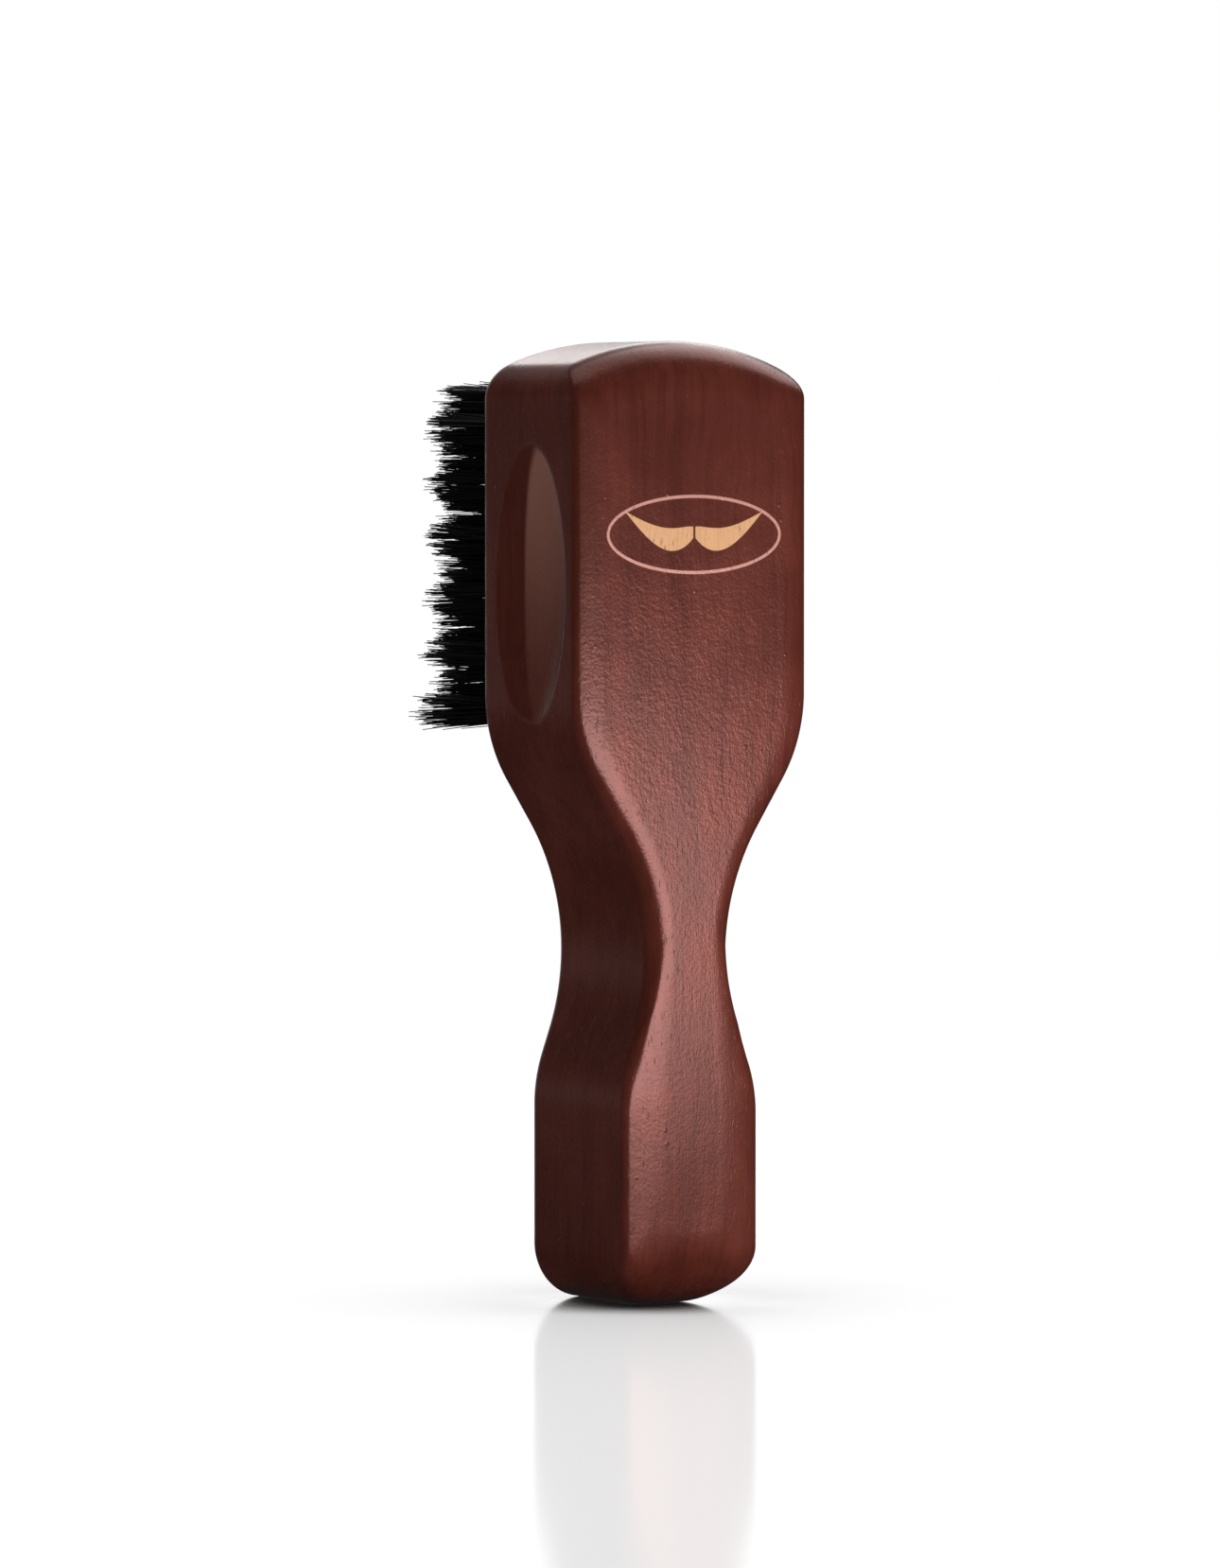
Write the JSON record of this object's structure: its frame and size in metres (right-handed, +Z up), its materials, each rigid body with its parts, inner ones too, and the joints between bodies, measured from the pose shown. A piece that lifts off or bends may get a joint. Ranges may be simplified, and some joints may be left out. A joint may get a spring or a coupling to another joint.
{
  "type": "beard brush",
  "caption": "Small upright club-shaped wooden beard brush with a waisted handle, finger scoops in the sides of its head and short dark bristle tufts on one face.",
  "frame": {"origin": "on the flat of the butt end, halfway across the brush and halfway through its thickness", "axes": "+Z up the brush from the butt end to the crown, -Y out of the marked face, +Y along the bristles, +X to the right when the marked face is looked at"},
  "size_m": [0.0386, 0.04, 0.135],
  "materials": {
    "wood": "mahogany stain under satin lacquer",
    "bristle": "stiff black bristle",
    "wire": "flat drawn wire"
  },
  "bodies": {
    "root": {"wood_body": "wood", "bristle_row_01": "bristle", "bristle_row_02": "bristle", "bristle_row_03": "bristle", "bristle_row_04": "bristle", "bristle_row_05": "bristle", "bristle_row_06": "bristle", "bristle_row_07": "bristle", "bristle_row_08": "bristle", "bristle_row_09": "bristle", "bristle_row_10": "bristle", "bristle_row_11": "bristle", "bristle_row_12": "bristle", "anchor_row_01": "wire", "anchor_row_02": "wire", "anchor_row_03": "wire", "anchor_row_04": "wire", "anchor_row_05": "wire", "anchor_row_06": "wire", "anchor_row_07": "wire", "anchor_row_08": "wire", "anchor_row_09": "wire", "anchor_row_10": "wire", "anchor_row_11": "wire", "anchor_row_12": "wire"}
  },
  "joints": []
}
